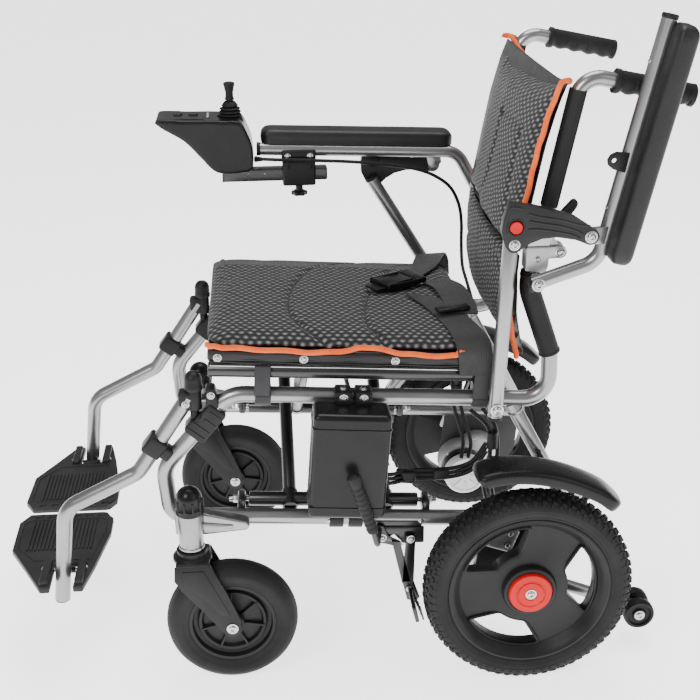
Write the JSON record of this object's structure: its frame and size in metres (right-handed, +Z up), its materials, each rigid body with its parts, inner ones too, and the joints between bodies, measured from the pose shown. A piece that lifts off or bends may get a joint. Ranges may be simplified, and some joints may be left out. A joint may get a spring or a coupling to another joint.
{
  "type": "power wheelchair",
  "caption": "Folding power wheelchair with a sling seat, swing-away leg rests, flip-up armrests, small drive wheels behind and a joystick on one armrest.",
  "frame": {"origin": "on the floor under the middle of the bounding box", "axes": "the user faces -X, the user's left is -Y, +Z is up; left_ and right_ are the user's sides"},
  "size_m": [1.0154, 0.597, 0.9876],
  "materials": {
    "frame_silver": "satin silver paint",
    "motor_cast": "cast and painted",
    "black_plastic": "moulded, fine texture",
    "drive_tyre": "block tread",
    "caster_tyre": "smooth",
    "pad_vinyl": "moulded vinyl skin over foam",
    "grip_rubber": "soft, ribbed for fingers",
    "red_plastic": "red, glossy",
    "black_steel": "black powder coat",
    "mesh_fabric": "knitted mesh",
    "belt_webbing": "woven webbing",
    "boot_rubber": "soft bellows",
    "cable_jacket": "smooth jacket",
    "key_plastic": "grey key"
  },
  "bodies": {
    "left_frame": {"left_side_frame": "frame_silver", "left_drive_motor": "motor_cast", "left_fender": "black_plastic", "left_hanger_bracket": "black_plastic", "battery_box": "black_plastic", "back_pad_lower": "mesh_fabric"},
    "cross_a": {"cross_leg_a": "black_steel", "seat_cushion": "mesh_fabric", "seat_belt": "belt_webbing"},
    "cross_b": {"cross_leg_b": "black_steel"},
    "right_frame": {"right_side_frame": "frame_silver", "right_drive_motor": "motor_cast", "right_fender": "black_plastic", "right_hanger_bracket": "black_plastic", "controller_cable": "cable_jacket"},
    "left_drive_wheel": {"left_drive_tyre": "drive_tyre", "left_drive_rim": "black_plastic"},
    "left_fork": {"left_caster_fork": "black_plastic"},
    "left_caster": {"left_caster_tyre": "caster_tyre", "left_caster_hub": "black_plastic"},
    "left_rollers": {"left_tip_rollers": "black_plastic"},
    "left_hanger": {"left_hanger_tube": "frame_silver"},
    "left_footrest": {"left_footplate": "black_plastic"},
    "left_armrest": {"left_armrest_tube": "frame_silver", "left_armrest_pad": "pad_vinyl"},
    "left_arm_link": {"left_armrest_bracket": "black_plastic"},
    "left_button": {"left_release_button": "red_plastic"},
    "left_arm_post": {"left_armrest_post": "frame_silver"},
    "left_upper_back": {"left_back_post": "frame_silver", "left_push_grip": "grip_rubber", "back_pad_upper": "mesh_fabric"},
    "left_latch": {"left_back_lever": "black_plastic"},
    "left_brake_hand": {"left_brake_lever": "black_steel"},
    "left_brake_arm": {"left_brake_shoe": "black_steel"},
    "right_drive_wheel": {"right_drive_tyre": "drive_tyre", "right_drive_rim": "black_plastic"},
    "right_fork": {"right_caster_fork": "black_plastic"},
    "right_caster": {"right_caster_tyre": "caster_tyre", "right_caster_hub": "black_plastic"},
    "right_rollers": {"right_tip_rollers": "black_plastic"},
    "right_hanger": {"right_hanger_tube": "frame_silver"},
    "right_footrest": {"right_footplate": "black_plastic"},
    "right_armrest": {"right_armrest_tube": "frame_silver", "right_armrest_pad": "pad_vinyl", "bar_clamp": "black_plastic"},
    "right_arm_link": {"right_armrest_bracket": "black_plastic"},
    "right_button": {"right_release_button": "red_plastic"},
    "right_arm_post": {"right_armrest_post": "frame_silver"},
    "right_upper_back": {"right_back_post": "frame_silver", "right_push_grip": "grip_rubber"},
    "right_latch": {"right_back_lever": "black_plastic"},
    "right_brake_hand": {"right_brake_lever": "black_steel"},
    "right_brake_arm": {"right_brake_shoe": "black_steel"},
    "control_bar": {"joystick_bar": "black_steel", "joystick_pod": "black_plastic"},
    "joystick": {"joystick_stick": "black_plastic"},
    "boot": {"joystick_boot": "boot_rubber"},
    "knob": {"clamp_knob": "black_plastic"},
    "power_button": {"power_key": "key_plastic"},
    "speed_button": {"speed_key": "key_plastic"}
  },
  "joints": [
    {"name": "fold", "type": "hinge", "parent": "left_frame", "child": "cross_a", "pos_m": [0.28625, -0.165, 0.2445], "axis": [0.9981, 0, -0.061], "range_deg": [0, 37], "deforming": ["seat_cushion", "seat_belt", "back_pad_lower", "back_pad_upper"]},
    {"name": "fold_centre", "type": "hinge", "parent": "cross_a", "child": "cross_b", "pos_m": [0.28625, 0, 0.34847], "axis": [0.9981, 0, -0.061], "range_deg": [-74, 0]},
    {"name": "fold_far", "type": "hinge", "parent": "cross_b", "child": "right_frame", "pos_m": [0.28625, 0.165, 0.2445], "axis": [0.9981, 0, -0.061], "range_deg": [0, 37]},
    {"name": "left_drive_spin", "type": "hinge", "parent": "left_frame", "child": "left_drive_wheel", "pos_m": [0.28625, -0.268, 0.159], "axis": [0, 1, 0], "continuous": true},
    {"name": "left_caster_swivel", "type": "hinge", "parent": "left_frame", "child": "left_fork", "pos_m": [-0.21475, -0.23, 0.2275], "axis": [0, 0, 1], "continuous": true},
    {"name": "left_caster_spin", "type": "hinge", "parent": "left_fork", "child": "left_caster", "pos_m": [-0.15975, -0.23, 0.1], "axis": [0, 1, 0], "continuous": true},
    {"name": "left_roller_spin", "type": "hinge", "parent": "left_frame", "child": "left_rollers", "pos_m": [0.48325, -0.195, 0.055], "axis": [0, 1, 0], "continuous": true},
    {"name": "left_hanger_swing", "type": "hinge", "parent": "left_frame", "child": "left_hanger", "pos_m": [-0.20025, -0.195, 0.44], "axis": [0, 0, 1], "range_deg": [0, 90]},
    {"name": "left_footplate_flip", "type": "hinge", "parent": "left_hanger", "child": "left_footrest", "pos_m": [-0.41425, -0.174, 0.165], "axis": [1, 0, 0], "range_deg": [0, 90]},
    {"name": "left_armrest_lift", "type": "hinge", "parent": "left_frame", "child": "left_armrest", "pos_m": [0.28625, -0.2275, 0.627], "axis": [0, 1, 0], "range_deg": [-100, 0]},
    {"name": "left_arm_link_turn", "type": "hinge", "parent": "left_armrest", "child": "left_arm_link", "pos_m": [0.35176, -0.2393, 0.69851], "axis": [0, 1, 0], "range_deg": [0, 90.2]},
    {"name": "left_arm_post_turn", "type": "hinge", "parent": "left_frame", "child": "left_arm_post", "pos_m": [0.23525, -0.2275, 0.437], "axis": [0, 1, 0], "range_deg": [-34.19, 0]},
    {"name": "left_button_press", "type": "slide", "parent": "left_arm_link", "child": "left_button", "axis": [0, 1, 0], "range_m": [0, 0.003], "stiffness_N_per_m": 400},
    {"name": "left_back_fold", "type": "hinge", "parent": "left_frame", "child": "left_upper_back", "pos_m": [0.32225, -0.195, 0.664], "axis": [0, 1, 0], "range_deg": [0, 100]},
    {"name": "left_latch_lift", "type": "hinge", "parent": "left_upper_back", "child": "left_latch", "pos_m": [0.31975, -0.195, 0.7045], "axis": [0, 1, 0], "range_deg": [0, 25], "stiffness_Nm_per_rad": 0.3},
    {"name": "left_brake_pull", "type": "hinge", "parent": "left_frame", "child": "left_brake_hand", "pos_m": [0.07175, -0.213, 0.219], "axis": [0, 1, 0], "range_deg": [-30, 0]},
    {"name": "left_brake_arm_turn", "type": "hinge", "parent": "left_frame", "child": "left_brake_arm", "pos_m": [0.11525, -0.218, 0.217], "axis": [0, 1, 0], "range_deg": [-6, 0]},
    {"name": "right_drive_spin", "type": "hinge", "parent": "right_frame", "child": "right_drive_wheel", "pos_m": [0.28625, 0.268, 0.159], "axis": [0, 1, 0], "continuous": true},
    {"name": "right_caster_swivel", "type": "hinge", "parent": "right_frame", "child": "right_fork", "pos_m": [-0.21475, 0.23, 0.2275], "axis": [0, 0, 1], "continuous": true},
    {"name": "right_caster_spin", "type": "hinge", "parent": "right_fork", "child": "right_caster", "pos_m": [-0.15975, 0.23, 0.1], "axis": [0, 1, 0], "continuous": true},
    {"name": "right_roller_spin", "type": "hinge", "parent": "right_frame", "child": "right_rollers", "pos_m": [0.48325, 0.195, 0.055], "axis": [0, 1, 0], "continuous": true},
    {"name": "right_hanger_swing", "type": "hinge", "parent": "right_frame", "child": "right_hanger", "pos_m": [-0.20025, 0.195, 0.44], "axis": [0, 0, -1], "range_deg": [0, 90]},
    {"name": "right_footplate_flip", "type": "hinge", "parent": "right_hanger", "child": "right_footrest", "pos_m": [-0.41425, 0.174, 0.165], "axis": [-1, 0, 0], "range_deg": [0, 90]},
    {"name": "right_armrest_lift", "type": "hinge", "parent": "right_frame", "child": "right_armrest", "pos_m": [0.28625, 0.2275, 0.627], "axis": [0, 1, 0], "range_deg": [0, 100]},
    {"name": "right_arm_link_turn", "type": "hinge", "parent": "right_armrest", "child": "right_arm_link", "pos_m": [0.20445, 0.2393, 0.6791], "axis": [0, 1, 0], "range_deg": [-90.2, 0]},
    {"name": "right_arm_post_turn", "type": "hinge", "parent": "right_frame", "child": "right_arm_post", "pos_m": [0.23525, 0.2275, 0.437], "axis": [0, 1, 0], "range_deg": [0, 34.19]},
    {"name": "right_button_press", "type": "slide", "parent": "right_arm_link", "child": "right_button", "axis": [0, -1, 0], "range_m": [0, 0.003], "stiffness_N_per_m": 400},
    {"name": "right_back_fold", "type": "hinge", "parent": "right_frame", "child": "right_upper_back", "pos_m": [0.32225, 0.195, 0.664], "axis": [0, 1, 0], "range_deg": [0, 100]},
    {"name": "right_latch_lift", "type": "hinge", "parent": "right_upper_back", "child": "right_latch", "pos_m": [0.31975, 0.195, 0.7045], "axis": [0, 1, 0], "range_deg": [0, 25], "stiffness_Nm_per_rad": 0.3},
    {"name": "right_brake_pull", "type": "hinge", "parent": "right_frame", "child": "right_brake_hand", "pos_m": [0.07175, 0.213, 0.219], "axis": [0, 1, 0], "range_deg": [-30, 0]},
    {"name": "right_brake_arm_turn", "type": "hinge", "parent": "right_frame", "child": "right_brake_arm", "pos_m": [0.11525, 0.218, 0.217], "axis": [0, 1, 0], "range_deg": [-6, 0]},
    {"name": "bar_slide", "type": "slide", "parent": "right_armrest", "child": "control_bar", "axis": [1, 0, 0], "range_m": [-0.06, 0]},
    {"name": "stick_side", "type": "hinge", "parent": "control_bar", "child": "boot", "pos_m": [-0.13875, 0.2275, 0.778], "axis": [1, 0, 0], "range_deg": [-15, 15], "stiffness_Nm_per_rad": 0.5, "deforming": ["joystick_boot"]},
    {"name": "stick_forward", "type": "hinge", "parent": "boot", "child": "joystick", "pos_m": [-0.13875, 0.2275, 0.778], "axis": [0, 1, 0], "range_deg": [-15, 15], "stiffness_Nm_per_rad": 0.5, "deforming": ["joystick_boot"]},
    {"name": "knob_turn", "type": "hinge", "parent": "right_armrest", "child": "knob", "pos_m": [-0.02675, 0.2275, 0.65], "axis": [0, 0, 1], "continuous": true},
    {"name": "power_press", "type": "slide", "parent": "control_bar", "child": "power_button", "axis": [0, 0, -1], "range_m": [0, 0.001], "stiffness_N_per_m": 500},
    {"name": "speed_press", "type": "slide", "parent": "control_bar", "child": "speed_button", "axis": [0, 0, -1], "range_m": [0, 0.001], "stiffness_N_per_m": 500}
  ],
  "couplings": [
    {"joint": "fold_centre", "follows": "fold", "ratio": -2},
    {"joint": "fold_far", "follows": "fold", "ratio": 1},
    {"joint": "left_footplate_flip", "follows": "fold", "ratio": 2.4324},
    {"joint": "left_arm_link_turn", "follows": "left_armrest_lift", "ratio": -0.902},
    {"joint": "left_arm_post_turn", "follows": "left_armrest_lift", "ratio": 0.3419},
    {"joint": "left_brake_arm_turn", "follows": "left_brake_pull", "ratio": 0.2},
    {"joint": "right_footplate_flip", "follows": "fold", "ratio": 2.4324},
    {"joint": "right_arm_link_turn", "follows": "right_armrest_lift", "ratio": -0.902},
    {"joint": "right_arm_post_turn", "follows": "right_armrest_lift", "ratio": 0.3419},
    {"joint": "right_brake_arm_turn", "follows": "right_brake_pull", "ratio": 0.2},
    {"joint": "right_back_fold", "follows": "left_back_fold", "ratio": 1}
  ]
}
